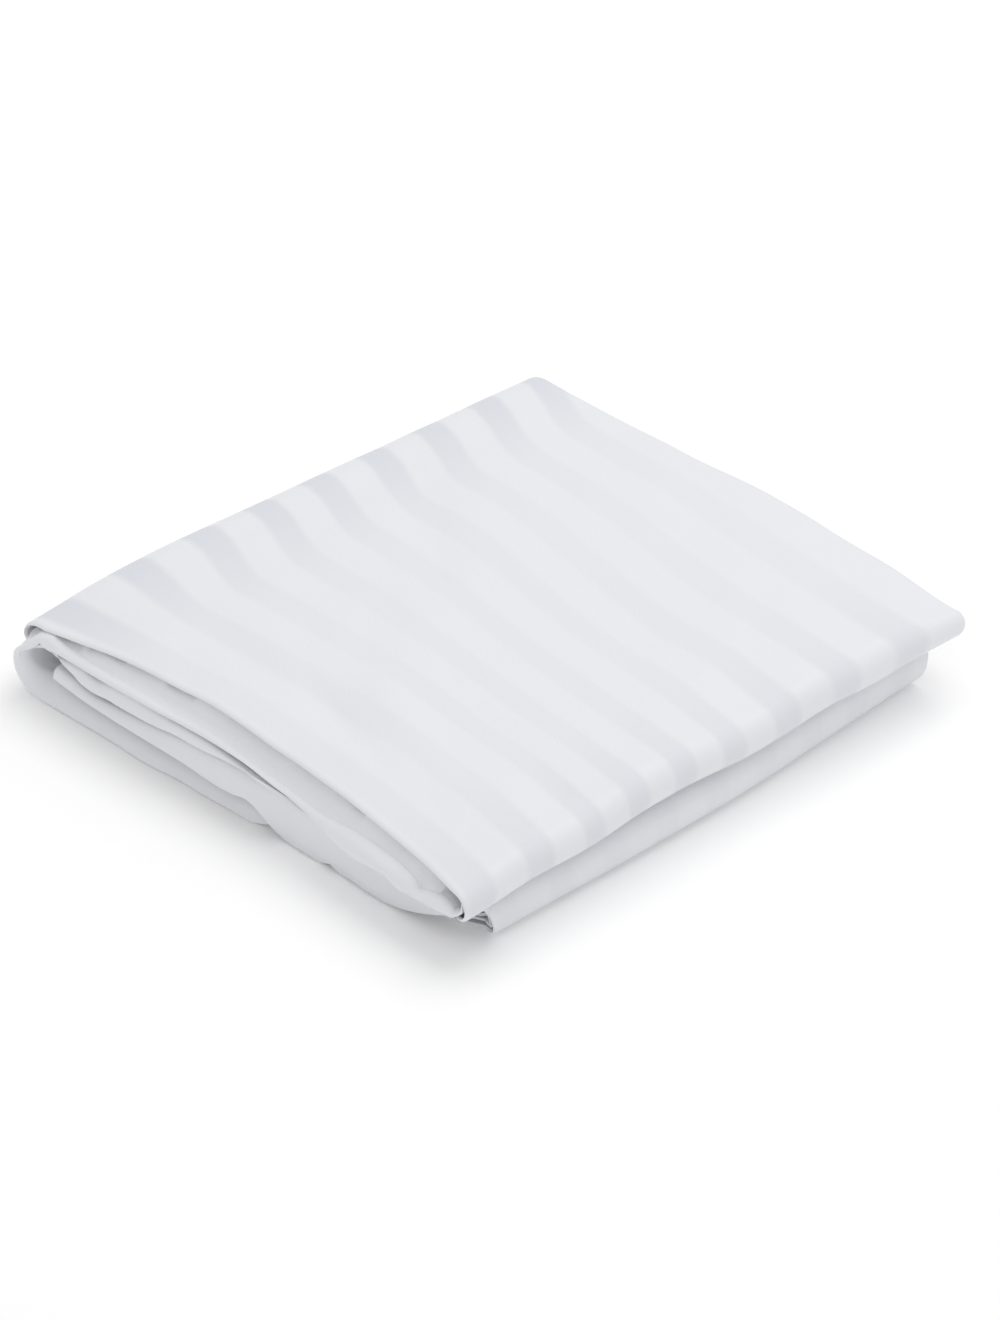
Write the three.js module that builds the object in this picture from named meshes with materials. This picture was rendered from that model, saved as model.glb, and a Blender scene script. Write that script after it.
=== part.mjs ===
// A duvet cover of white striped cotton sateen, folded to a flat packet.
// Two panels lie on each other as one strip. The strip is doubled, and the doubled strip is
// folded in three, so the packet has six layers, each of both panels.
// X runs across the folds, Y along them and Z up, in millimetres. The front is at -Y, where the
// rims of the layers show, and the closed folds are at both ends of X.
import * as THREE from 'three';

// Cloth, with the loft of a panel that is folded in four before the strip is folded
const PANEL_THICKNESS = 2.8;
const PANEL_GAP = 0.4;
const STRIP_HALF = PANEL_GAP / 2 + PANEL_THICKNESS;

// Packet: the front line and the back line that the layers' rims are measured from
const FRONT_Y = -188;
const BACK_Y = 188;

// Steps of the surface
const RUN_STEPS = 10;
const WIDTH_STATIONS = [0, 0.04, 0.12, 0.22, 0.35, 0.5, 0.65, 0.78, 0.88, 0.96, 1];

// Corners where the packet is pressed down: near and left at the front, far at the back
const PRESSED = {
  near: { x: 181, y: -188, reachX: 150, reachY: 120 },
  left: { x: -182, y: -190, reachX: 110, reachY: 80 },
  far: { x: 179, y: 190, reachX: 70, reachY: 75 },
};

// Soft dents in the upper layers: their middle, reach along X and along Y, and depth. The row of
// them along +X gives the big fold its scalloped edge.
const DENTS = [
  { x: 165, y: -95, reachX: 55, reachY: 42, depth: 3 },
  { x: 172, y: 25, reachX: 62, reachY: 60, depth: 5 },
  { x: 170, y: 120, reachX: 50, reachY: 36, depth: 2.5 },
  { x: 20, y: -128, reachX: 62, reachY: 34, depth: 2.5 },
  { x: -60, y: -140, reachX: 60, reachY: 26, depth: 1.5 },
  { x: 60, y: 40, reachX: 90, reachY: 40, depth: 1.5 },
];

// Soft waves of the upper layers: height, and length of one wave along X and along Y
const WAVES = [
  { height: 1.1, alongX: 190, alongY: 260, startX: 0.08, startY: 0.3 },
  { height: 0.7, alongX: 96, alongY: 150, startX: 0.46, startY: 0.1 },
];
// The packet thins towards its rims, by these shares of its height
const RIM_DROOP = { front: 0.05, back: 0.015, reach: 60 };

// Layers from the bottom up. height is that of the strip's middle, at the stations in HEIGHT_X;
// near, left and far are the same at the three pressed corners; front is how far the rim lies
// behind the front line, at the stations in FRONT_X; lean is how much further out the lower edge
// of the rim is than its upper edge; back is how far the other rim lies inside the back line, at
// the first and the last of those stations.
const HEIGHT_X = [-152, 13, 143];
const FRONT_X = [-167, -97, -37, 23, 83, 133, 173];
const LAYERS = {
  bottom: {
    height: [3, 3, 3], near: 3, left: 3, far: 3,
    front: [8, 8, 10, 13, 17, 26, 45], lean: 0, back: [4, 16],
  },
  lower: {
    height: [12.2, 12.2, 10.3], near: 9.7, left: 11.4, far: 10.3,
    front: [5, 5, 8, 11, 16, 24, 43], lean: 1, back: [7, 14],
  },
  middle_lower: {
    height: [21.4, 21.4, 17.6], near: 16.4, left: 19.9, far: 17.6,
    front: [7, 3, 4, 8, 12, 20, 40], lean: 2, back: [3, 9],
  },
  middle_upper: {
    height: [30.6, 30.6, 25], near: 23.1, left: 28.4, far: 25,
    front: [5, 4, 6, 9, 9, 17, 37], lean: 1, back: [8, 8],
  },
  second: {
    height: [39.8, 40.4, 34], near: 31.5, left: 37, far: 37,
    front: [0, 4, 9, 7, 4, 2, 6], lean: 5, back: [2, 4],
  },
  top: {
    height: [49, 54, 52], near: 45.5, left: 45.6, far: 46.5,
    front: [8, 16, 19, 18, 15, 12, 5], lean: 0, back: [-3, 0],
  },
};

// Folds: the two layers they join, the side they are on (-1 left, 1 right), where the strip's
// middle has its tip at the front, halfway and at the back, how far they reach for each
// millimetre of half their height, how square they are (2 is round) and their steps.
const FOLDS = {
  low_outer: {
    from: 'middle_upper', to: 'bottom', side: 1,
    tip: [168, 167, 155], reach: 1.1, square: 2.6, steps: 9,
  },
  left_outer: {
    from: 'bottom', to: 'top', side: -1,
    tip: [-177, -179, -174], reach: 1, square: 2.4, steps: 11,
  },
  big: {
    from: 'top', to: 'second', side: 1,
    tip: [177, 173, 172], reach: 1.1, square: 2, steps: 9,
  },
  left_inner: {
    from: 'second', to: 'lower', side: -1,
    tip: [-170, -170, -164.5], reach: 1, square: 2.2, steps: 8,
  },
  low_inner: {
    from: 'lower', to: 'middle_lower', side: 1,
    tip: [158.5, 157.5, 145.5], reach: 1.1, square: 2, steps: 7,
  },
};

// The two loose ends of the strip lie inside the left folds
const LOOSE_ENDS = { middle_upper: -149, middle_lower: -147 };

// The strip's route through the packet, from one loose end to the other
const ROUTE = [
  { run: 'middle_upper', after: 'low_outer' },
  { fold: 'low_outer' },
  { run: 'bottom', before: 'low_outer', after: 'left_outer' },
  { fold: 'left_outer' },
  { run: 'top', before: 'left_outer', after: 'big' },
  { fold: 'big' },
  { run: 'second', before: 'big', after: 'left_inner' },
  { fold: 'left_inner' },
  { run: 'lower', before: 'left_inner', after: 'low_inner' },
  { fold: 'low_inner' },
  { run: 'middle_lower', before: 'low_inner' },
];

const { clamp, lerp } = THREE.MathUtils;

function smooth(share) {
  const s = clamp(share, 0, 1);
  return s * s * (3 - 2 * s);
}

// A value between the stations of a table, changing smoothly from one to the next
function between(stations, values, at) {
  let k = 0;
  while (k < stations.length - 2 && at > stations[k + 1]) k += 1;
  const share = smooth((at - stations[k]) / (stations[k + 1] - stations[k]));
  return lerp(values[k], values[k + 1], share);
}

// How far the top of the packet is raised at a place by its waves, less its dents
function reliefAt(x, y) {
  const turn = 2 * Math.PI;
  let relief = 0;
  for (const w of WAVES) {
    const acrossFolds = Math.sin(turn * (x / w.alongX + w.startX));
    const alongFolds = Math.cos(turn * (y / w.alongY + w.startY));
    relief += w.height * acrossFolds * alongFolds;
  }
  for (const dent of DENTS) {
    const away = Math.hypot((x - dent.x) / dent.reachX, (y - dent.y) / dent.reachY);
    relief -= dent.depth * (1 - smooth(away));
  }
  return relief;
}

// How free a place is of a pressed corner: 0 at the corner, 1 past its reach
function freeOf(corner, x, y) {
  const { x: cornerX, y: cornerY, reachX, reachY } = PRESSED[corner];
  return smooth(Math.hypot((x - cornerX) / reachX, (y - cornerY) / reachY));
}

// The height of the strip's middle in a layer
function heightOf(layer, x, y) {
  const row = LAYERS[layer];
  let height = between(HEIGHT_X, row.height, x);
  for (const corner of Object.keys(PRESSED)) height = lerp(row[corner], height, freeOf(corner, x, y));
  const frontDroop = RIM_DROOP.front * (1 - smooth((y - FRONT_Y) / RIM_DROOP.reach));
  const backDroop = RIM_DROOP.back * (1 - smooth((BACK_Y - y) / RIM_DROOP.reach));
  const above = (height - STRIP_HALF) * (1 - frontDroop - backDroop);
  const share = above / (LAYERS.top.height[1] - STRIP_HALF);
  return STRIP_HALF + above + reliefAt(x, y) * share;
}

// The layer's rims at x
function rimsOf(layer, x) {
  const row = LAYERS[layer];
  const front = FRONT_Y + between(FRONT_X, row.front, x);
  const back = BACK_Y - between([FRONT_X[0], FRONT_X.at(-1)], row.back, x);
  return [front, back];
}

// Where a fold's tip is and where its two runs end, at a share of the width from front to back
function foldAt(name, share) {
  const fold = FOLDS[name];
  const tip = between([0, 0.5, 1], fold.tip, share);
  const y = lerp(FRONT_Y, BACK_Y, share);
  const apart = Math.abs(heightOf(fold.from, tip, y) - heightOf(fold.to, tip, y));
  const reach = (fold.reach * apart) / 2;
  return { reach, endX: tip - fold.side * reach };
}

function pointOfRun(stop, along, share) {
  const ends = [stop.before, stop.after].map((fold) =>
    fold ? foldAt(fold, share).endX : LOOSE_ENDS[stop.run]);
  const x = lerp(ends[0], ends[1], along);
  const [front, back] = rimsOf(stop.run, x);
  const y = lerp(front, back, share);
  return new THREE.Vector3(x, y, heightOf(stop.run, x, y));
}

// A point on a fold, which turns through half a superellipse from one layer to the next
function pointOfFold(name, along, share) {
  const fold = FOLDS[name];
  const { reach, endX } = foldAt(name, share);
  const rims = [fold.from, fold.to].map((layer) => rimsOf(layer, endX));
  const part = smooth(along);
  const y = lerp(lerp(rims[0][0], rims[1][0], part), lerp(rims[0][1], rims[1][1], part), share);
  const heights = [heightOf(fold.from, endX, y), heightOf(fold.to, endX, y)];
  const middle = (heights[0] + heights[1]) / 2;
  const half = (heights[0] - heights[1]) / 2;
  const angle = Math.PI * along;
  const power = 2 / fold.square;
  const out = Math.sin(angle) ** power;
  const up = Math.sign(Math.cos(angle)) * Math.abs(Math.cos(angle)) ** power;
  return new THREE.Vector3(endX + fold.side * reach * out, y, middle + half * up);
}

// How far the rim's lower edge is out at a stop of the route
function leanOf(stop, along) {
  if (stop.run) return LAYERS[stop.run].lean;
  const { from, to } = FOLDS[stop.fold];
  return lerp(LAYERS[from].lean, LAYERS[to].lean, smooth(along));
}

// The strip's middle line at a share of the width, with its sideways direction at each point
function stripLine(share) {
  const line = [];
  for (const stop of ROUTE) {
    const steps = stop.run ? RUN_STEPS : FOLDS[stop.fold].steps;
    const first = line.length ? 1 : 0;
    for (let k = first; k <= steps; k += 1) {
      const along = k / steps;
      const point = stop.run ? pointOfRun(stop, along, share) : pointOfFold(stop.fold, along, share);
      line.push({ point, lean: leanOf(stop, along) * (1 - share) });
    }
  }
  return line.map(({ point, lean }, k) => {
    const ahead = line[Math.min(k + 1, line.length - 1)].point;
    const behind = line[Math.max(k - 1, 0)].point;
    const side = new THREE.Vector3(behind.z - ahead.z, 0, ahead.x - behind.x).normalize();
    side.y = (lean * side.z) / (2 * STRIP_HALF);
    return { point, side };
  });
}

// One panel: a closed sheet between two distances from the strip's middle
function panelGeometry(near, far) {
  const lines = WIDTH_STATIONS.map((share) => stripLine(share));
  const across = lines.length;
  const along = lines[0].length;
  const positions = [];
  for (const distance of [far, near]) {
    for (const line of lines) {
      for (const { point, side } of line) {
        positions.push(...point.clone().addScaledVector(side, distance));
      }
    }
  }
  const at = (skin, j, i) => (skin * across + j) * along + i;
  const triangles = [];
  const quad = (a, b, c, d) => triangles.push(a, b, c, a, c, d);
  for (let j = 0; j < across - 1; j += 1) {
    for (let i = 0; i < along - 1; i += 1) {
      quad(at(0, j, i), at(0, j, i + 1), at(0, j + 1, i + 1), at(0, j + 1, i));
      quad(at(1, j, i), at(1, j + 1, i), at(1, j + 1, i + 1), at(1, j, i + 1));
    }
    quad(at(0, j, 0), at(0, j + 1, 0), at(1, j + 1, 0), at(1, j, 0));
    quad(at(0, j, along - 1), at(1, j, along - 1), at(1, j + 1, along - 1), at(0, j + 1, along - 1));
  }
  for (let i = 0; i < along - 1; i += 1) {
    quad(at(0, 0, i), at(1, 0, i), at(1, 0, i + 1), at(0, 0, i + 1));
    quad(at(0, across - 1, i), at(0, across - 1, i + 1), at(1, across - 1, i + 1), at(1, across - 1, i));
  }
  const geometry = new THREE.BufferGeometry();
  geometry.setAttribute('position', new THREE.Float32BufferAttribute(positions, 3));
  geometry.setIndex(triangles);
  geometry.computeVertexNormals();
  return geometry;
}

// White sateen: bright and softly glossy
function sateen(name, color) {
  return new THREE.MeshStandardMaterial({ name, color, roughness: 0.55, metalness: 0 });
}

function panel(name, geometry, color) {
  const mesh = new THREE.Mesh(geometry, sateen(`${name}_sateen`, color));
  mesh.name = name;
  return mesh;
}

const cover = new THREE.Group();
cover.name = 'folded_duvet_cover';
// The face panel lies on the side that ends up outermost all round the packet
cover.add(panel('face_panel', panelGeometry(PANEL_GAP / 2, STRIP_HALF), '#f4f6fa'));
cover.add(panel('back_panel', panelGeometry(-STRIP_HALF, -PANEL_GAP / 2), '#eff1f5'));

// The origin is under the middle of the packet, on the surface it rests on
const box = new THREE.Box3().setFromObject(cover);
const middle = box.getCenter(new THREE.Vector3());
cover.position.set(-middle.x, -middle.y, -box.min.z);

export default cover;
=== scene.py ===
"""A duvet cover of white striped cotton sateen, folded to a flat packet: its cloth, table, light and
camera. The file is laid out as a Blender add-on and run as a script."""

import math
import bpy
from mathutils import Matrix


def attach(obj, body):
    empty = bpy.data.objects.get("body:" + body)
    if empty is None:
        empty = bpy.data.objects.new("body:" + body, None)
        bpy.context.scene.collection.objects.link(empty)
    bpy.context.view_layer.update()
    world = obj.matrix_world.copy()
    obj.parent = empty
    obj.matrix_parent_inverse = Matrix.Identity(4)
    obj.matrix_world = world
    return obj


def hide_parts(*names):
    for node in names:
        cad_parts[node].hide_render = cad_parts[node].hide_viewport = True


bl_info = {
    "name": "Folded Duvet Cover",
    "version": (1, 0, 0),
    "blender": (4, 5, 0),
    "location": "View3D > Sidebar > Duvet Cover",
    "description": "Makes the cloth of a folded duvet cover, and the table, light and camera",
    "category": "Object",
}

import bpy
import numpy as np
from mathutils import Vector

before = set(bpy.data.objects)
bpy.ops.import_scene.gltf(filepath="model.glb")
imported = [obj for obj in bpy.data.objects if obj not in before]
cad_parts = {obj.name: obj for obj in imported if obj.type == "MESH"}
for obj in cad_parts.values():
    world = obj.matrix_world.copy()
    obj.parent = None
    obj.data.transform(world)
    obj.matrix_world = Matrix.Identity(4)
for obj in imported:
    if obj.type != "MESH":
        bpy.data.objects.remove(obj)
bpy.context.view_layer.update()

# All sizes below are in millimetres, and MM turns them to metres
MM = 0.001

# Half the thickness of the strip that both panels make, and the packet's front and back lines
STRIP_HALF = 3.0
FRONT_Y = -188.0
BACK_Y = 188.0
# The tables below are moved by this, so that the origin is under the middle of the packet
CENTRING = (0.9, -0.3, 0.0)

# Corners where the packet is pressed down, and how far each press reaches
PRESSED = {
    "near": {"x": 181, "y": -188, "reach_x": 150, "reach_y": 120},
    "left": {"x": -182, "y": -190, "reach_x": 110, "reach_y": 80},
    "far": {"x": 179, "y": 190, "reach_x": 70, "reach_y": 75},
}

# Soft dents in the upper layers: their middle, reach along X and along Y, and depth
DENTS = [
    {"x": 165, "y": -95, "reach_x": 55, "reach_y": 42, "depth": 3},
    {"x": 172, "y": 25, "reach_x": 62, "reach_y": 60, "depth": 5},
    {"x": 170, "y": 120, "reach_x": 50, "reach_y": 36, "depth": 2.5},
    {"x": 20, "y": -128, "reach_x": 62, "reach_y": 34, "depth": 2.5},
    {"x": -60, "y": -140, "reach_x": 60, "reach_y": 26, "depth": 1.5},
    {"x": 60, "y": 40, "reach_x": 90, "reach_y": 40, "depth": 1.5},
]

# Soft troughs of the top, and ridges where the depth is negative: both ends, width and depth. Past
# its ends a crease fades over its width divided by END_FADE.
END_FADE = 0.6
CREASES = [
    {"start": (72, -74), "end": (150, -88), "width": 7, "depth": 0.9},
    {"start": (-110, 52), "end": (-40, 2), "width": 22, "depth": 1.6},
    {"start": (-30, 40), "end": (45, 26), "width": 12, "depth": -0.8},
    {"start": (-75, -122), "end": (-30, -130), "width": 16, "depth": 1.4},
    {"start": (0, -126), "end": (62, -140), "width": 13, "depth": 1.6},
    {"start": (30, -104), "end": (110, -128), "width": 16, "depth": -0.9},
    {"start": (-150, 70), "end": (-120, -30), "width": 20, "depth": 0.8},
    {"start": (95, 110), "end": (150, 60), "width": 18, "depth": 0.8},
]

# Soft waves of the upper layers: height, length of one wave along X and along Y, and their starts
WAVES = [
    {"height": 1.1, "along_x": 190, "along_y": 260, "start_x": 0.08, "start_y": 0.3},
    {"height": 0.7, "along_x": 96, "along_y": 150, "start_x": 0.46, "start_y": 0.1},
    {"height": 0.22, "along_x": 58, "along_y": 83, "start_x": 0.21, "start_y": 0.62},
    {"height": 0.13, "along_x": 37, "along_y": 46, "start_x": 0.7, "start_y": 0.15},
]
# The layers droop at the rims by these shares of their height, within this reach
RIM_DROOP = {"front": 0.05, "back": 0.015, "reach": 60}

# Layers from the bottom up: height of the strip's middle at the stations in HEIGHT_X, the same at
# the three pressed corners, how far the front rim lies inside the front line at the stations in
# FRONT_X, and how far the back rim lies inside the back line at the first and last of them
HEIGHT_X = [-152, 13, 143]
FRONT_X = [-167, -97, -37, 23, 83, 133, 173]
LAYERS = {
    "bottom": {
        "height": [3, 3, 3], "near": 3, "left": 3, "far": 3,
        "front": [8, 8, 10, 13, 17, 26, 45], "back": [4, 16],
    },
    "lower": {
        "height": [12.2, 12.2, 10.3], "near": 9.7, "left": 11.4, "far": 10.3,
        "front": [5, 5, 8, 11, 16, 24, 43], "back": [7, 14],
    },
    "middle_lower": {
        "height": [21.4, 21.4, 17.6], "near": 16.4, "left": 19.9, "far": 17.6,
        "front": [7, 3, 4, 8, 12, 20, 40], "back": [3, 9],
    },
    "middle_upper": {
        "height": [30.6, 30.6, 25], "near": 23.1, "left": 28.4, "far": 25,
        "front": [5, 4, 6, 9, 9, 17, 37], "back": [8, 8],
    },
    "second": {
        "height": [39.8, 40.4, 34], "near": 31.5, "left": 37, "far": 37,
        "front": [0, 4, 9, 7, 4, 2, 6], "back": [2, 4],
    },
    "top": {
        "height": [49, 54, 52], "near": 45.5, "left": 45.6, "far": 46.5,
        "front": [8, 16, 19, 18, 15, 12, 5], "back": [-3, 0],
    },
}

# How square a round fold or rim is: a higher number is squarer, and a lower one is slanted
ROUND = 2
# Folds: the two layers they join, their side (-1 left, 1 right), where the strip's middle has its
# tip at the front, halfway and at the back, their reach for each millimetre of half their height,
# and how square they are
FOLDS = {
    "low_outer": {
        "from": "middle_upper", "to": "bottom", "side": 1,
        "tip": [168, 167, 155], "reach": 1.1, "square": 2.6,
    },
    "left_outer": {
        "from": "bottom", "to": "top", "side": -1,
        "tip": [-177, -179, -174], "reach": 1, "square": 2.4,
    },
    "big": {
        "from": "top", "to": "second", "side": 1,
        "tip": [177, 173, 172], "reach": 1.1, "square": ROUND,
    },
    "left_inner": {
        "from": "second", "to": "lower", "side": -1,
        "tip": [-170, -170, -164.5], "reach": 1, "square": 2.2,
    },
    "low_inner": {
        "from": "lower", "to": "middle_lower", "side": 1,
        "tip": [158.5, 157.5, 145.5], "reach": 1.1, "square": ROUND,
    },
}
# Where the strip's two loose ends lie along X
LOOSE_ENDS = {"middle_upper": -149, "middle_lower": -147}

# The strip's route through the packet: its runs and folds, the folds that stand at a run's start
# ("before") and at its end ("after"), and the steps of the cloth in each
ROUTE = [
    {"run": "middle_upper", "after": "low_outer", "steps": 84},
    {"fold": "low_outer", "steps": 20},
    {"run": "bottom", "before": "low_outer", "after": "left_outer", "steps": 30},
    {"fold": "left_outer", "steps": 24},
    {"run": "top", "before": "left_outer", "after": "big", "steps": 90},
    {"fold": "big", "steps": 22},
    {"run": "second", "before": "big", "after": "left_inner", "steps": 84},
    {"fold": "left_inner", "steps": 20},
    {"run": "lower", "before": "left_inner", "after": "low_inner", "steps": 40},
    {"fold": "low_inner", "steps": 10},
    {"run": "middle_lower", "before": "low_inner", "steps": 26},
]

# Steps of the cloth from rim to rim, and of the turned rims
WIDTH_STEPS = 74
FRONT_TURN_STEPS = 14
BACK_TURN_STEPS = 5

# Rims that hang over the front, at stations along X: where the top of the hanging part and its
# edge lie along Y, the height of the edge, how far back the turn starts and how square it is
HANGING = {
    ("face", "lower"): {
        "x": [-166, -149, -126, -104, -69, -50, -29, -9, 10, 24, 60, 130, 173],
        "top_y": [
            -183.5, -182.9, -181.9, -181.1, -180.5, -178.2, -177.6, -176.2, -174, -168, -165, -160, -143,
        ],
        "edge_y": [
            -183.6, -183, -182, -181.2, -180.7, -178.3, -177.8, -176.4, -174.4, -168, -165, -160, -143,
        ],
        "edge_z": [1.1, 1.1, 1.1, 1.1, 1.1, 1.1, 1.1, 1.1, 1.1, 5, 8, 9, 9],
        "start": [11, 12, 12, 12, 11, 10, 9, 8, 6, 4, 3, 3, 3], "square": 1.5,
    },
    ("face", "middle_upper"): {
        "x": [
            -150, -123, -98, -72, -38, -16, -1, 8, 15, 21, 27,
            33, 45, 60, 66, 72, 80, 95, 110, 131, 142, 158,
        ],
        "top_y": [
            -180.5, -180, -179.5, -179.5, -179.5, -179, -178, -177, -177, -177, -177,
            -177, -177, -177, -177, -177, -177, -176.5, -175.5, -172, -169, -160,
        ],
        "edge_y": [
            -181, -181.2, -181.2, -181.2, -180.8, -180.5, -180, -179.5, -178, -176.8, -175,
            -174, -173.6, -173, -172.8, -172.6, -172.4, -173, -172.4, -170.5, -169, -161,
        ],
        "edge_z": [
            18.2, 16, 15.6, 16.2, 16.4, 15.4, 16.2, 17.6, 13.6, 8.6, 4,
            1.6, 1.2, 1.2, 3.4, 1.2, 1.2, 1.2, 1.2, 6, 10, 15,
        ],
        "start": 3.5, "square": 3,
    },
    ("face", "second"): {
        "x": [-150, -143, -137, -130, -123, -103, -83, -65, -47, -31, -4, 17, 40, 60, 90, 170],
        "top_y": -180.5,
        "edge_y": -181,
        "edge_z": [36, 32.5, 30.4, 28.4, 26, 26.6, 27.6, 29, 31.8, 32.6, 35.6, 35.6, 35.4, 35, 33, 33],
        "start": 4, "square": 3,
    },
    ("back", "second"): {
        "x": [-154, -131, -104, -82, -64, -47, -14, 6, 27, 48, 68, 80, 98, 112, 120, 132, 145, 170],
        "top_y": [
            -183, -182.6, -182.4, -182, -181.6, -180.6, -179.4, -179.6, -180.6, -181.4,
            -183.4, -184.6, -185.6, -185.6, -185.6, -185.8, -186, -185,
        ],
        "edge_y": [
            -183, -182.6, -182.4, -182, -181.6, -180.6, -179.4, -179.6, -180.6, -181.4,
            -183, -184, -185, -185.4, -185.6, -185.8, -186, -185,
        ],
        "edge_z": [
            37.5, 38, 38.4, 39.4, 39.8, 40.2, 40.6, 40.2, 39, 37.6,
            34.6, 31.6, 29.6, 31.4, 32, 28.8, 30, 31,
        ],
        "start": [6, 5, 4, 3.5, 3, 2.5, 2.5, 2.5, 2.5, 3, 4, 6, 8, 8, 8, 7, 5, 5], "square": 2.2,
    },
}
# How far a panel sinks at its front, at stations along X, and between which lines along Y
SINKS = {
    ("face", "middle_upper"): {
        "x": [-150, -137, -123, -103, -83, -65, -47, -31, -10],
        "depth": [5.5, 6.8, 9.8, 9.8, 8.2, 6, 3.4, 2.2, 0],
        "from_y": -160, "to_y": -177,
    },
    ("face", "second"): {
        "x": [-128, -114, -100], "depth": [0, 3, 0], "from_y": -168, "to_y": -176,
    },
}
# Short creases of one panel's layer: both ends, width and depth
LOCAL_CREASES = {
    ("back", "second"): [{"start": (152, -170), "end": (138, -189), "width": 6, "depth": 3}],
}
# The other front rims: how far they stand out from the layer's own rim, how far they turn over the
# strip's edge, how far back the turn starts and how square it is
PLAIN_RIMS = {
    ("face", "top"): {"out": 0, "turn": 1.4, "start": 3, "square": ROUND},
    ("back", "top"): {"out": -16, "turn": 0, "start": 2, "square": ROUND},
}
# Rims that the hanging ones hide lie behind this line, at the stations in FRONT_X
HIDDEN_Y = [-158, -158, -160, -163, -164, -160, -143]
HIDDEN_RIM = {"start": 2, "square": ROUND}
# Rims in the folds: as above, at shares of the way round the fold. The lower FOLD_EASE is, the
# sooner a fold's own rim takes over from the rims of its runs.
FOLD_EASE = 0.7
FOLD_SHARES = [0, 0.25, 0.5, 0.75, 1]
FOLD_RIMS = {
    ("face", "big"): {"out": 1, "turn": 0.4, "start": 2},
    ("back", "big"): {"out": 0.5, "turn": 1.7, "start": 3},
    ("face", "left_inner"): {"out": 1, "turn": [1, 3, 7, 12, 13], "start": 7},
    ("back", "left_inner"): {
        "out": [1, 1, 0, -4, -8], "turn": [6, 4, 1.5, 0, 0], "start": [5, 4, 3, 2, 2],
    },
    ("face", "left_outer"): {"out": [-26, -24, -6, 0, 0], "turn": [0, 0, 0, 0.8, 1.4], "start": 2},
    ("back", "left_outer"): {"out": [-28, -27, -20, -14, -16], "turn": 0, "start": 2},
    ("face", "low_outer"): {"out": 1, "turn": 0.4, "start": 2},
    ("back", "low_outer"): {"out": 0.5, "turn": 1.7, "start": 3},
    ("face", "low_inner"): {"out": -8, "turn": 0, "start": 2},
    ("back", "low_inner"): {"out": -8, "turn": 0, "start": 2},
}
# The back rims: those of a run's upper panel turn over the lower one
BACK_RIMS = {
    "upper": {"out": 0, "turn": 4.6, "start": 3.5},
    "lower": {"out": -3, "turn": 0, "start": 1},
}
# This fold flares out at the front
FLARE = {"fold": "left_inner", "out": 1.5, "reach": 36}
# The second layer's upper panel is raised towards the top layer's rim between these places along X.
# It rises from its own rim, and the higher "bend" is, the later it bends up. Under the top layer's
# rim and further inside, the middles of the two strips stay at least "under_rim" and "inside"
# apart, and behind the rim the rise fades out.
LIFT = {
    "from_x": -186, "full_x": -150, "until_x": 150, "to_x": 176, "bend": 2.4, "past_rim": 1,
    "under_rim": 2.3, "inside": 6.8, "inside_from": 2, "inside_over": 10,
    "behind_from": 10, "behind_over": 60,
}

# The stripes: one repeat, the share of it that the plain band takes, half the width of the band's
# soft edge, and where the middle of one band lies along Y
STRIPE_REPEAT = 42.7
BAND_SHARE = 0.45
BAND_EDGE = 3.0
BAND_Y = -8.0
# The cloth lies askew on the top: its stripes drift this far towards the front at the right, and
# towards the back beside the left fold
DRIFT = {"most": 28, "from_x": -110, "to_x": 100, "middle_y": 50, "reach_y": 150}
LEFT_DRIFT = {"most": 25, "from_x": -165, "to_x": -95, "from_y": -215, "reach_y": 190}
# How strongly the bands' darker, bluer colour shows on the top: past their own faint tone it is painted
# shade, most where the light grazes them beside the left fold
TOP_BANDS_AND_SHADE = {
    "x": [-165, -150, -125, -95, -40, 60, 120, 160],
    "strength": [0.36, 0.33, 0.24, 0.13, 0.08, 0.08, 0.1, 0.18],
}
# The same painted shade on the bands of the folds and the second layer; PLAIN_BANDS is the bands' own
# faint tone elsewhere
BANDS_AND_SHADE_ELSEWHERE = {"left_outer": 0.36, "big": 0.22, "second": 0.1}
PLAIN_BANDS = 0.06

# The crumple of the pressed cloth. The threads lie 0.2 mm apart and are drawn 1.4 mm apart, so that
# the weave shows from close by.
CRUMPLE = {"size": 30, "depth": 1.2, "detail": 2, "roughness": 0.45}
THREADS = {"apart": 1.415, "depth": 0.12, "distortion": 0.4, "strength": 0.25}
# How far apart, in metres, a diagonal wave texture's crests lie at scale 1
WAVE_AT_SCALE_1 = math.pi / (5 * math.sqrt(2))
# The roughness of the sateen and of the plain bands, which are duller, and the sheen, which is the
# light that the ends of the fibres catch
FINISH = {"sateen": 0.5, "band": 0.62, "sheen": 0.15, "sheen_roughness": 0.4, "ior": 1.5}

# Edges of the cloth that turn more sharply than this angle are rounded, by this share of its
# thickness
EDGE_ROUNDING = {"share": 0.45, "segments": 2, "angle": math.radians(60)}

# From here on sizes are in metres. The table lies just under the cloth, and a faint glow of its own
# keeps it white.
TABLE = {"size": 30, "z": -0.0003, "colour": "#f3f3f3", "roughness": 0.9, "glow": 0.113}
ROOM_LIGHT = 0.76
SOFTBOX = {"place": (0, 0.8, 2.3), "size": 2, "watts": 21}

# The camera: the direction it looks from, its distance and what it aims at. Its focal length and
# shift are in pixels of a picture 1320 pixels high, which the sensor's 36 mm span.
PICTURE_HEIGHT = 1320
SENSOR = 36
CAMERA_AZIMUTH = math.radians(46.8)
CAMERA_ELEVATION = math.radians(33.9)
CAMERA_DISTANCE = 2.92
CAMERA_AIM = Vector((0.013, 0, 0))
FOCAL_LENGTH = 5400
SHIFT = (-5.3, 39.1)
CAMERA_REACH = 50


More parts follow.
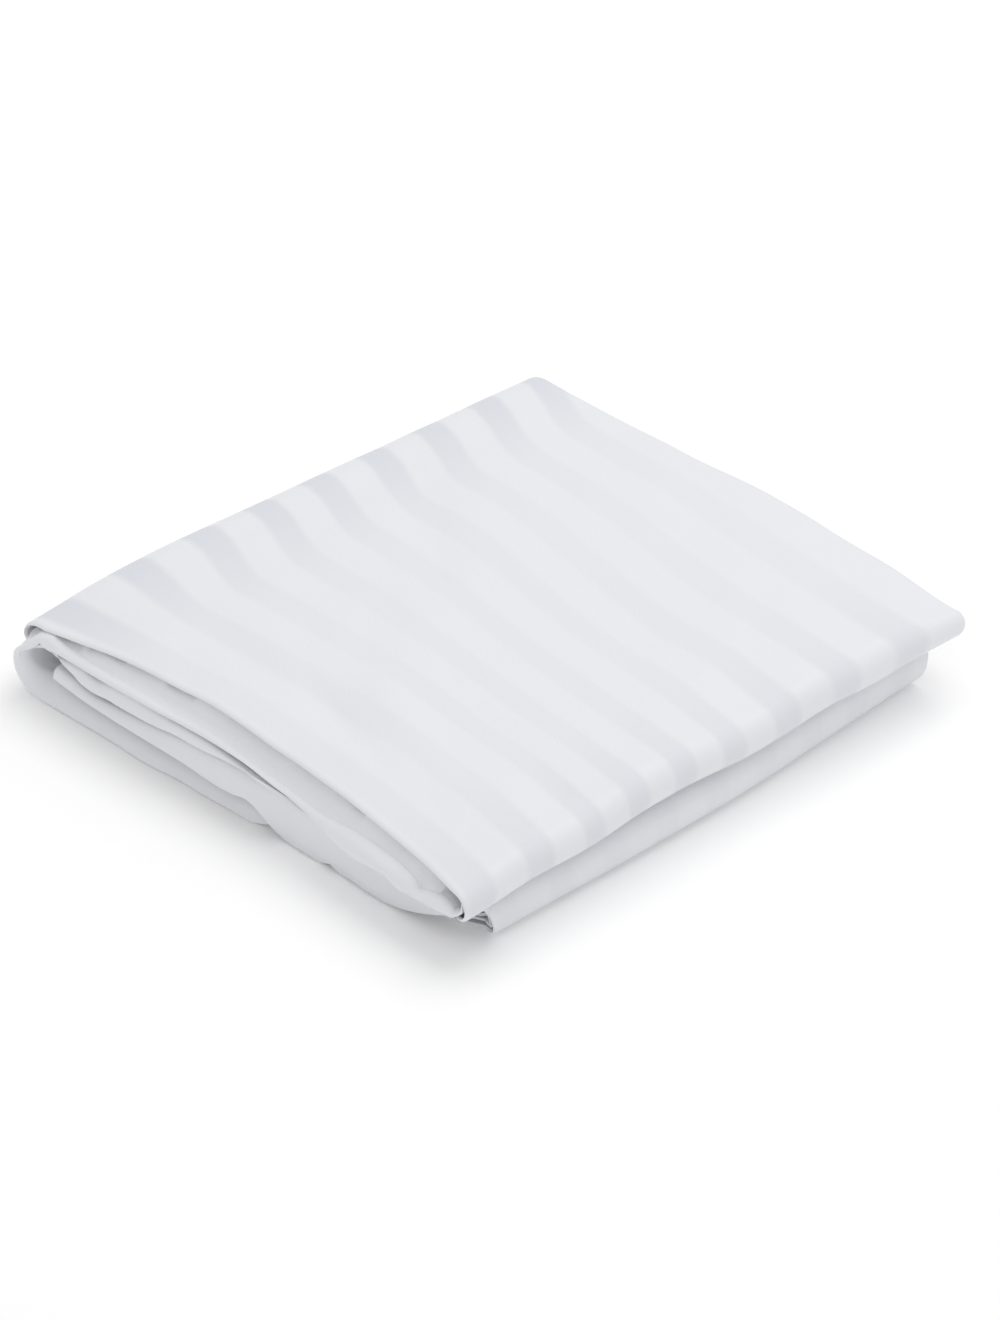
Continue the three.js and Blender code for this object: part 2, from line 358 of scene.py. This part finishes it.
def smooth(share):
    """A share that starts and ends slowly, and stays between 0 and 1."""
    s = np.clip(share, 0, 1)
    return s * s * (3 - 2 * s)


def lerp(a, b, share):
    """The value that lies at a share of the way from a to b."""
    return a + (b - a) * share


def between(stations, values, at):
    """A value between the stations of a table, on a smooth curve through them."""
    stations = np.asarray(stations, float)
    values = np.asarray(values, float)
    at = np.clip(at, stations[0], stations[-1])
    slopes = np.gradient(values, stations)
    k = np.clip(np.searchsorted(stations, at, side="right") - 1, 0, len(stations) - 2)
    width = stations[k + 1] - stations[k]
    s = (at - stations[k]) / width
    start = values[k] * (1 + 2 * s) * (1 - s) ** 2 + slopes[k] * width * s * (1 - s) ** 2
    end = values[k + 1] * s * s * (3 - 2 * s) + slopes[k + 1] * width * s * s * (s - 1)
    return start + end


def value_at(row, key, stations, at):
    """A table's value: a list gives it at the stations, and a number is the same everywhere."""
    return between(stations, row[key], at) if isinstance(row[key], list) else at * 0 + row[key]


def trough_at(crease, x, y):
    """How deep a crease is at a place, from 0 past its width to 1 on its line."""
    start = np.array(crease["start"], float)
    run = np.array(crease["end"], float) - start
    length = math.hypot(*run)
    along = ((x - start[0]) * run[0] + (y - start[1]) * run[1]) / length
    across = ((x - start[0]) * run[1] - (y - start[1]) * run[0]) / length
    past = np.maximum(np.maximum(-along, along - length), 0)
    return 1 - smooth(np.hypot(across, past * END_FADE) / crease["width"])


def relief_at(x, y):
    """How far the top of the packet is raised at a place by its waves, less its dents."""
    turn = 2 * math.pi
    relief = np.zeros_like(x)
    for wave in WAVES:
        across_folds = np.sin(turn * (x / wave["along_x"] + wave["start_x"]))
        along_folds = np.cos(turn * (y / wave["along_y"] + wave["start_y"]))
        relief += wave["height"] * across_folds * along_folds
    for dent in DENTS:
        away = np.hypot((x - dent["x"]) / dent["reach_x"], (y - dent["y"]) / dent["reach_y"])
        relief -= dent["depth"] * (1 - smooth(away))
    for crease in CREASES:
        relief -= crease["depth"] * trough_at(crease, x, y)
    return relief


def free_of(corner, x, y):
    """How free a place is of a pressed corner: 0 at the corner, 1 past its reach."""
    row = PRESSED[corner]
    return smooth(np.hypot((x - row["x"]) / row["reach_x"], (y - row["y"]) / row["reach_y"]))


def height_of(layer, x, y):
    """The height of the strip's middle in a layer."""
    row = LAYERS[layer]
    height = between(HEIGHT_X, row["height"], x)
    for corner in PRESSED:
        height = lerp(row[corner], height, free_of(corner, x, y))
    front = RIM_DROOP["front"] * (1 - smooth((y - FRONT_Y) / RIM_DROOP["reach"]))
    back = RIM_DROOP["back"] * (1 - smooth((BACK_Y - y) / RIM_DROOP["reach"]))
    above = (height - STRIP_HALF) * (1 - front - back)
    share = above / (LAYERS["top"]["height"][1] - STRIP_HALF)
    return STRIP_HALF + above + relief_at(x, y) * share


def rims_of(layer, x):
    """The layer's front and back rims at x."""
    row = LAYERS[layer]
    front = FRONT_Y + between(FRONT_X, row["front"], x)
    back = BACK_Y - between([FRONT_X[0], FRONT_X[-1]], row["back"], x)
    return front, back


def fold_at(name, share):
    """How far a fold reaches and where its two runs end, at a share of the width."""
    fold = FOLDS[name]
    tip = between([0, 0.5, 1], fold["tip"], np.array([share]))
    y = np.array([lerp(FRONT_Y, BACK_Y, share)])
    apart = np.abs(height_of(fold["from"], tip, y) - height_of(fold["to"], tip, y))
    reach = fold["reach"] * apart / 2
    return float(reach[0]), float((tip - fold["side"] * reach)[0])


def panel_side(panel, run):
    """1 where the panel is the upper one of the two in a run, and -1 where it lies underneath."""
    return 1 if (panel == "face") == (run in ("top", "lower", "middle_upper")) else -1


def rim_of_run(panel, run, x, thickness):
    """The front rim of a panel in a run: its place along Y, and how it turns."""
    front = rims_of(run, x)[0]
    half = STRIP_HALF - thickness / 2
    if (panel, run) in HANGING:
        row = HANGING[panel, run]
        keys = ("top_y", "edge_y", "edge_z", "start", "square")
        rim = {key: value_at(row, key, row["x"], x) for key in keys}
        middle = height_in(panel, run, x, rim["top_y"] + rim["start"])
        side = panel_side(panel, run)
        return {
            "y": rim["top_y"], "start": rim["start"], "square": rim["square"],
            "turn": half - side * (rim["edge_z"] - middle), "slope": rim["edge_y"] - rim["top_y"],
        }
    if (panel, run) in PLAIN_RIMS:
        row = PLAIN_RIMS[panel, run]
        rim = {key: x * 0 + row[key] for key in ("turn", "start", "square")}
        return {**rim, "y": front - row["out"], "slope": x * 0}
    hidden = np.maximum(front, between(FRONT_X, HIDDEN_Y, x))
    rim = {key: x * 0 + value for key, value in HIDDEN_RIM.items()}
    return {**rim, "y": hidden, "turn": x * 0, "slope": x * 0}


def fold_weight(along):
    """How far a fold's own rim counts: 0 at its two ends and 1 at its tip."""
    return np.sin(np.pi * along) ** FOLD_EASE


def rim_of_fold(panel, name, along, thickness):
    """The same in a fold: it passes from the run before it to the run after it."""
    fold = FOLDS[name]
    row = FOLD_RIMS[panel, name]
    end_x = np.array([fold_at(name, 0.0)[1]])
    first = rim_of_run(panel, fold["from"], end_x, thickness)
    last = rim_of_run(panel, fold["to"], end_x, thickness)
    line = lerp(rims_of(fold["from"], end_x)[0], rims_of(fold["to"], end_x)[0], smooth(along))
    own = {key: value_at(row, key, FOLD_SHARES, along) for key in ("turn", "start")}
    own = {**own, "y": line - value_at(row, "out", FOLD_SHARES, along), "square": ROUND, "slope": 0}
    return {
        key: lerp(lerp(first[key], last[key], smooth(along)), own[key], fold_weight(along))
        for key in first
    }


def back_rim(panel, stop, along):
    """At the back the upper panel turns over the lower one, and folds have plain rims."""
    if "fold" in stop:
        first, last = ({"run": FOLDS[stop["fold"]][end]} for end in ("from", "to"))
        start = back_rim(panel, first, along)
        end = back_rim(panel, last, along)
        plain = 1 - fold_weight(along)
        return {key: lerp(start[key], end[key], smooth(along)) * plain for key in start}
    row = BACK_RIMS["upper" if panel_side(panel, stop["run"]) > 0 else "lower"]
    return {key: np.full_like(along, value) for key, value in row.items()}


def lift_at(x, y):
    """How far the second layer's upper panel is raised towards the top layer above it."""
    own = HANGING["back", "second"]
    rim = rims_of("top", x)[0] + LIFT["past_rim"]
    edge = between(own["x"], own["top_y"], x) + LIFT["past_rim"]
    apart = height_of("top", x, np.maximum(y, rim)) - height_of("second", x, y)
    rise = np.clip((y - edge) / (rim - edge), 0, 1) ** LIFT["bend"]
    inside = smooth((y - rim - LIFT["inside_from"]) / LIFT["inside_over"])
    room = apart - lerp(LIFT["under_rim"], LIFT["inside"], inside)
    left = smooth((x - LIFT["from_x"]) / (LIFT["full_x"] - LIFT["from_x"]))
    right = 1 - smooth((x - LIFT["until_x"]) / (LIFT["to_x"] - LIFT["until_x"]))
    behind = 1 - smooth((y - rim - LIFT["behind_from"]) / LIFT["behind_over"])
    return np.maximum(room, 0) * left * right * rise * behind


def height_in(panel, layer, x, y):
    """The height of the strip's middle as one panel follows it: raised, sunk or creased."""
    z = height_of(layer, x, y)
    if (panel, layer) == ("back", "second"):
        z = z + lift_at(x, y)
    if (panel, layer) in SINKS:
        row = SINKS[panel, layer]
        depth = between(row["x"], row["depth"], x)
        z = z - depth * smooth((y - row["from_y"]) / (row["to_y"] - row["from_y"]))
    for crease in LOCAL_CREASES.get((panel, layer), []):
        z = z - crease["depth"] * trough_at(crease, x, y)
    return z


def from_rim_to_rim(front, back_line, back, share):
    """The place along Y at a share of the width, between the starts of the two turned rims."""
    return lerp(front["y"] + front["start"], back_line + back["out"] - back["start"], share)


def run_line(panel, stop, share, along, thickness):
    """The strip's middle line in a run as one panel follows it, and that panel's rims."""
    layer = stop["run"]
    ends = [
        fold_at(stop[side], share)[1] if side in stop else LOOSE_ENDS[layer]
        for side in ("before", "after")
    ]
    x = lerp(ends[0], ends[1], along)
    front = rim_of_run(panel, layer, x, thickness)
    back = back_rim(panel, stop, along)
    y = from_rim_to_rim(front, rims_of(layer, x)[1], back, share)
    return np.stack([x, y, height_in(panel, layer, x, y)], -1), front, back


def fold_line(panel, stop, share, along, thickness):
    """The same in a fold."""
    name = stop["fold"]
    fold = FOLDS[name]
    reach, end_x = fold_at(name, share)
    back_lines = [rims_of(fold[side], np.array([end_x]))[1] for side in ("from", "to")]
    front = rim_of_fold(panel, name, along, thickness)
    back = back_rim(panel, stop, along)
    y = from_rim_to_rim(front, lerp(back_lines[0], back_lines[1], smooth(along)), back, share)
    at_end = np.full_like(along, end_x)
    first = height_in(panel, fold["from"], at_end, y)
    last = height_in(panel, fold["to"], at_end, y)
    angle = np.pi * along
    power = 2 / fold["square"]
    out = np.abs(np.sin(angle)) ** power
    up = np.sign(np.cos(angle)) * np.abs(np.cos(angle)) ** power
    x = end_x + fold["side"] * reach * out
    if name == FLARE["fold"]:
        x = x - FLARE["out"] * (1 - smooth((y - FRONT_Y) / FLARE["reach"])) * out
    z = (first + last) / 2 + (first - last) / 2 * up
    return np.stack([x, y, z], -1), front, back


def line_at(panel, share, thickness):
    """The strip's middle line at a share of the width, the direction from the back panel to the
    face panel at each point of it, and how the panel's front and back rims turn."""
    points = []
    fronts = []
    backs = []
    for stop in ROUTE:
        along = np.linspace(0, 1, stop["steps"] + 1)
        if points:
            along = along[1:]
        follow = run_line if "run" in stop else fold_line
        line, front, back = follow(panel, stop, share, along, thickness)
        points.append(line)
        keys = ("turn", "start", "square", "slope")
        fronts.append(np.stack([front[key] + along * 0 for key in keys], -1))
        backs.append(np.stack([back["turn"], back["start"]], -1))
    points = np.concatenate(points)
    ahead = np.concatenate([points[1:], points[-1:]])
    behind = np.concatenate([points[:1], points[:-1]])
    step = ahead - behind
    facing = np.stack([-step[:, 2], np.zeros(len(step)), step[:, 0]], -1)
    facing /= np.linalg.norm(facing, axis=1)[:, None]
    return points, facing, np.concatenate(fronts), np.concatenate(backs)


def panel_grid(panel, thickness):
    """The panel's middle surface as rows of points from the front rim to the back rim, and how far
    across the cloth each point is."""
    lean = 1 if panel == "face" else -1
    distance = lean * (STRIP_HALF - thickness / 2)
    rows = []
    across = []
    points, facing, fronts, _ = line_at(panel, 0.0, thickness)
    turn, start, square, slope = fronts.T
    for k in range(FRONT_TURN_STEPS, 0, -1):
        angle = math.pi / 2 * k / FRONT_TURN_STEPS
        out = math.sin(angle) ** (2 / square) * start
        down_share = 1 - max(math.cos(angle), 0) ** (2 / square)
        row = points + facing * (distance - lean * down_share * turn)[:, None]
        row[:, 1] += down_share * slope - out
        rows.append(row)
        across.append(-np.hypot(out, down_share * turn))
    for k in range(WIDTH_STEPS + 1):
        share = k / WIDTH_STEPS
        points, facing, _, backs = line_at(panel, share, thickness)
        rows.append(points + facing * distance)
        across.append(np.full(len(points), share * (BACK_Y - FRONT_Y)))
    turn, start = backs.T
    for k in range(1, BACK_TURN_STEPS + 1):
        angle = math.pi / 2 * k / BACK_TURN_STEPS
        out = math.sin(angle) * start
        down = (1 - math.cos(angle)) * turn
        row = points + facing * (distance - lean * down)[:, None]
        row[:, 1] += out
        rows.append(row)
        across.append(BACK_Y - FRONT_Y + np.hypot(out, down))
    return np.stack(rows), np.stack(across)


def stripes_of(grid, across):
    """Where each point lies across the stripes, and how strongly the bands show there: their own faint
    tone, and painted shade where the light grazes the folds.
    """
    places = [stop.get("run", stop.get("fold")) for stop in ROUTE for _ in range(stop["steps"])]
    places = np.array(places[:1] + places)
    x, y = grid[..., 0], grid[..., 1]
    most = DRIFT["most"] * smooth((x - DRIFT["from_x"]) / (DRIFT["to_x"] - DRIFT["from_x"]))
    drift = most * np.clip(1 - ((y - DRIFT["middle_y"]) / DRIFT["reach_y"]) ** 2, 0, 1)
    beside = smooth((LEFT_DRIFT["to_x"] - x) / (LEFT_DRIFT["to_x"] - LEFT_DRIFT["from_x"]))
    behind = smooth((y - LEFT_DRIFT["from_y"]) / LEFT_DRIFT["reach_y"])
    drift = drift - LEFT_DRIFT["most"] * beside * behind
    drift = np.where(np.isin(places, ("left_outer", "top", "big")), drift, 0)
    elsewhere = np.array([BANDS_AND_SHADE_ELSEWHERE.get(place, PLAIN_BANDS) for place in places])
    on_top = between(TOP_BANDS_AND_SHADE["x"], TOP_BANDS_AND_SHADE["strength"], x)
    return across + drift, np.where(places == "top", on_top, elsewhere)


def srgb(hex_colour):
    """A colour written as sRGB hex, as the linear numbers that Blender's sockets hold."""
    channels = [int(hex_colour[k:k + 2], 16) / 255 for k in (1, 3, 5)]
    return [c / 12.92 if c <= 0.04045 else ((c + 0.055) / 1.055) ** 2.4 for c in channels]


def add_node(tree, kind, settings=None, links=None, **inputs):
    """Adds a node with its settings, the values of its inputs and the links into them."""
    node = tree.nodes.new(kind)
    for key, value in (settings or {}).items():
        setattr(node, key, value)
    for key, value in inputs.items():
        node.inputs[key.replace("_", " ")].default_value = value
    for key, source in (links or {}).items():
        tree.links.new(source, node.inputs[key])
    return node


def add_cloth(name, panel, sizes):
    """Makes one panel's cloth on the folds, still without its thickness. Its UV map runs in metres
    across and along the cloth, and an attribute holds how strongly the bands' colour shows: their own
    faint tone, and painted shade where the light grazes the folds."""
    grid, across = panel_grid(panel, sizes.panel_thickness / MM)
    rows, columns = grid.shape[:2]
    along = np.concatenate([[0], np.cumsum(np.linalg.norm(np.diff(grid[rows // 2], axis=0), axis=1))])
    vertices = (grid.reshape(-1, 3) + np.array(CENTRING)) * MM
    faces = []
    for j in range(rows - 1):
        for i in range(columns - 1):
            a = j * columns + i
            faces.append((a, a + 1, a + 1 + columns, a + columns))
    mesh = bpy.data.meshes.new(name)
    mesh.from_pydata(vertices.tolist(), [], faces)
    uv = mesh.uv_layers.new(name="Cloth")
    # How strongly the bands' colour shows: their own faint tone, and painted shade where the light grazes
    # the folds
    across, strength = stripes_of(grid, across)
    band_and_shade = mesh.attributes.new("band_and_painted_shade", "FLOAT", "POINT")
    band_and_shade.data.foreach_set("value", strength.reshape(-1))
    u = (across * MM).reshape(-1)
    v = np.tile(along * MM, rows)
    loops = np.zeros(len(mesh.loops), int)
    mesh.loops.foreach_get("vertex_index", loops)
    uv.data.foreach_set("uv", np.stack([u[loops], v[loops]], -1).reshape(-1))
    cloth = bpy.data.objects.new(name, mesh)
    bpy.context.scene.collection.objects.link(cloth)
    return cloth


def apply_modifiers(piece):
    """Applies every modifier of a piece."""
    bpy.ops.object.select_all(action="DESELECT")
    bpy.context.view_layer.objects.active = piece
    piece.select_set(True)
    for name in [m.name for m in piece.modifiers]:
        bpy.ops.object.modifier_apply(modifier=name)


def thicken(piece, thickness):
    """Gives the cloth its thickness and rounds its cut edges."""
    solidify = piece.modifiers.new("Thickness", "SOLIDIFY")
    solidify.thickness = thickness
    solidify.offset = 0
    bevel = piece.modifiers.new("Round rims", "BEVEL")
    bevel.width = thickness * EDGE_ROUNDING["share"]
    bevel.segments = EDGE_ROUNDING["segments"]
    bevel.limit_method = "ANGLE"
    bevel.angle_limit = EDGE_ROUNDING["angle"]
    apply_modifiers(piece)
    piece.data.polygons.foreach_set("use_smooth", [True] * len(piece.data.polygons))


class CoverSizes(bpy.types.PropertyGroup):
    stripe_repeat: bpy.props.FloatProperty(
        name="Stripe repeat", description="How far apart the stripes lie",
        default=STRIPE_REPEAT * MM, min=5 * MM, max=200 * MM, subtype="DISTANCE", unit="LENGTH",
    )
    panel_thickness: bpy.props.FloatProperty(
        name="Panel thickness", description="How thick each panel's cloth is drawn",
        default=1.8 * MM, min=0.8 * MM, max=2.8 * MM, subtype="DISTANCE", unit="LENGTH",
    )


class CoverColours(bpy.types.PropertyGroup):
    sateen: bpy.props.StringProperty(
        name="Sateen", description="The sateen stripe's colour, as sRGB hex", default="#e4e5e9",
    )
    # The band colour at full strength is darker and bluer than the bands' own tone: it is mostly painted
    # shade, for where the light grazes the folds
    band: bpy.props.StringProperty(
        name="Band", description="The plain band's colour at full strength, as sRGB hex",
        default="#b9c0cb",
    )


def sateen_material(name, sizes, colours):
    """Cotton sateen stripe, woven, mercerised and bleached. The long threads on its face make it
    smooth, bright and softly glossy, and the plain bands between them are a little darker. Their
    darker, bluer colour where the light grazes them is painted shade in the base colour."""
    material = bpy.data.materials.new(name)
    material.use_nodes = True
    tree = material.node_tree
    tree.nodes.clear()
    # The plain bands, and how strongly their colour shows: their own faint tone, and painted shade where
    # the light grazes the folds
    uv = add_node(tree, "ShaderNodeUVMap", {"uv_map": "Cloth"})
    place = add_node(tree, "ShaderNodeSeparateXYZ", links={"Vector": uv.outputs["UV"]})
    start = add_node(tree, "ShaderNodeMath", {"operation": "SUBTRACT"}, {0: place.outputs["X"]})
    start.inputs[1].default_value = (BAND_Y - FRONT_Y) * MM
    wave = add_node(tree, "ShaderNodeMath", {"operation": "PINGPONG"}, {0: start.outputs[0]})
    wave.inputs[1].default_value = sizes.stripe_repeat / 2
    edge = sizes.stripe_repeat / 2 * BAND_SHARE
    band = add_node(
        tree, "ShaderNodeMapRange", {"interpolation_type": "SMOOTHSTEP"}, {"Value": wave.outputs[0]},
        From_Min=edge - BAND_EDGE * MM, From_Max=edge + BAND_EDGE * MM, To_Min=1, To_Max=0,
    )
    band_and_shade = add_node(tree, "ShaderNodeAttribute", {"attribute_name": "band_and_painted_shade"})
    strength = add_node(
        tree, "ShaderNodeMath", {"operation": "MULTIPLY"},
        {0: band.outputs[0], 1: band_and_shade.outputs["Fac"]},
    )
    # Painted shade: the darker, bluer band colour is mixed into the sateen's colour, most where the light
    # grazes the folds
    colour = add_node(
        tree, "ShaderNodeMix", {"data_type": "RGBA"}, {"Factor": strength.outputs[0]},
        A=(*srgb(colours.sateen), 1), B=(*srgb(colours.band), 1),
    )
    roughness = add_node(
        tree, "ShaderNodeMapRange", None, {"Value": band.outputs[0]},
        To_Min=FINISH["sateen"], To_Max=FINISH["band"],
    )
    # The crumple left by the press, and the weave on it
    spot = add_node(tree, "ShaderNodeTexCoord")
    crumple = add_node(
        tree, "ShaderNodeTexNoise", None, {"Vector": spot.outputs["Object"]},
        Scale=1 / (CRUMPLE["size"] * MM), Detail=CRUMPLE["detail"], Roughness=CRUMPLE["roughness"],
    )
    soft = add_node(
        tree, "ShaderNodeBump", None, {"Height": crumple.outputs["Fac"]},
        Strength=1, Distance=CRUMPLE["depth"] * MM,
    )
    threads = add_node(
        tree, "ShaderNodeTexWave", {"wave_type": "BANDS", "bands_direction": "DIAGONAL"},
        {"Vector": uv.outputs["UV"]},
        Scale=WAVE_AT_SCALE_1 / (THREADS["apart"] * MM), Distortion=THREADS["distortion"],
    )
    weave = add_node(
        tree, "ShaderNodeBump", None, {"Height": threads.outputs["Fac"], "Normal": soft.outputs["Normal"]},
        Strength=THREADS["strength"], Distance=THREADS["depth"] * MM,
    )
    shader = add_node(
        tree, "ShaderNodeBsdfPrincipled", None,
        {
            "Base Color": colour.outputs["Result"], "Roughness": roughness.outputs["Result"],
            "Normal": weave.outputs["Normal"],
        },
        Sheen_Weight=FINISH["sheen"], Sheen_Roughness=FINISH["sheen_roughness"], IOR=FINISH["ior"],
    )
    add_node(tree, "ShaderNodeOutputMaterial", None, {"Surface": shader.outputs["BSDF"]})
    return material


class COVER_OT_panels(bpy.types.Operator):
    """Makes the cloth of both panels on the folds of their solids"""

    bl_idname = "cover.panels"
    bl_label = "Panels"

    def execute(self, context):
        sizes = context.scene.cover_sizes
        for panel in ("face", "back"):
            cloth = add_cloth(f"{panel}_panel_cloth", panel, sizes)
            thicken(cloth, sizes.panel_thickness)
            cloth.data.materials.append(
                sateen_material(f"cotton_sateen_stripe_{panel}", sizes, context.scene.cover_colours)
            )
            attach(cloth, "root")
            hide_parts(f"{panel}_panel")
        return {"FINISHED"}


class COVER_OT_stage(bpy.types.Operator):
    """Makes the pale table, the soft light and the camera"""

    bl_idname = "cover.stage"
    bl_label = "Stage"

    def execute(self, context):
        scene = context.scene
        scene.view_settings.view_transform = "Standard"
        bpy.ops.object.select_all(action="DESELECT")
        bpy.ops.mesh.primitive_plane_add(size=TABLE["size"], location=(0, 0, TABLE["z"]))
        table = context.active_object
        table.name = "table"
        table.data.materials.append(board_material())
        world = bpy.data.worlds.new("soft_room")
        world.use_nodes = True
        light = world.node_tree.nodes["Background"]
        light.inputs["Color"].default_value = (*srgb("#ffffff"), 1)
        light.inputs["Strength"].default_value = ROOM_LIGHT
        scene.world = world
        add_softbox(scene)
        add_camera(scene)
        return {"FINISHED"}


def board_material():
    """Painted board: matt and white, with a faint glow."""
    material = bpy.data.materials.new("painted_board")
    material.use_nodes = True
    shader = material.node_tree.nodes["Principled BSDF"]
    shader.inputs["Base Color"].default_value = (*srgb(TABLE["colour"]), 1)
    shader.inputs["Roughness"].default_value = TABLE["roughness"]
    shader.inputs["Emission Color"].default_value = (*srgb("#ffffff"), 1)
    shader.inputs["Emission Strength"].default_value = TABLE["glow"]
    return material


def point_at(thing, place, target):
    """Puts a light or a camera at a place and turns it to look at a target."""
    thing.location = place
    thing.rotation_mode = "QUATERNION"
    thing.rotation_quaternion = (Vector(target) - Vector(place)).to_track_quat("-Z", "Y")


def add_softbox(scene):
    """A wide, weak light from above and behind the packet."""
    data = bpy.data.lights.new("softbox", "AREA")
    data.shape = "SQUARE"
    data.size = SOFTBOX["size"]
    data.energy = SOFTBOX["watts"]
    lamp = bpy.data.objects.new("softbox", data)
    point_at(lamp, SOFTBOX["place"], (0, 0, 0))
    scene.collection.objects.link(lamp)


def add_camera(scene):
    """The camera, from the front right and above."""
    data = bpy.data.cameras.new("camera")
    data.lens = FOCAL_LENGTH / PICTURE_HEIGHT * SENSOR
    data.sensor_width = SENSOR
    data.shift_x, data.shift_y = (shift / PICTURE_HEIGHT for shift in SHIFT)
    data.clip_end = CAMERA_REACH
    camera = bpy.data.objects.new("camera", data)
    back = Vector((
        math.sin(CAMERA_AZIMUTH) * math.cos(CAMERA_ELEVATION),
        -math.cos(CAMERA_AZIMUTH) * math.cos(CAMERA_ELEVATION),
        math.sin(CAMERA_ELEVATION),
    ))
    point_at(camera, CAMERA_AIM + back * CAMERA_DISTANCE, CAMERA_AIM)
    scene.collection.objects.link(camera)
    scene.camera = camera


class COVER_PT_panel(bpy.types.Panel):
    """Shows the cover's sizes and colours, and the buttons that make the panels and the stage"""

    bl_idname = "COVER_PT_panel"
    bl_label = "Duvet Cover"
    bl_space_type = "VIEW_3D"
    bl_region_type = "UI"
    bl_category = "Duvet Cover"

    def draw(self, context):
        layout = self.layout
        layout.prop(context.scene.cover_sizes, "panel_thickness")
        layout.prop(context.scene.cover_sizes, "stripe_repeat")
        layout.prop(context.scene.cover_colours, "sateen")
        layout.prop(context.scene.cover_colours, "band")
        layout.operator(COVER_OT_panels.bl_idname)
        layout.operator(COVER_OT_stage.bl_idname)


CLASSES = [CoverSizes, CoverColours, COVER_OT_panels, COVER_OT_stage, COVER_PT_panel]


def register():
    """Registers the classes and the sizes and colours that a user can change."""
    for cls in CLASSES:
        bpy.utils.register_class(cls)
    bpy.types.Scene.cover_sizes = bpy.props.PointerProperty(type=CoverSizes)
    bpy.types.Scene.cover_colours = bpy.props.PointerProperty(type=CoverColours)


def unregister():
    """Takes back what register did."""
    del bpy.types.Scene.cover_colours
    del bpy.types.Scene.cover_sizes
    for cls in reversed(CLASSES):
        bpy.utils.unregister_class(cls)


def main():
    """Makes the stage and the cloth."""
    register()
    bpy.ops.cover.stage()
    bpy.ops.cover.panels()


if __name__ == "__main__":
    main()
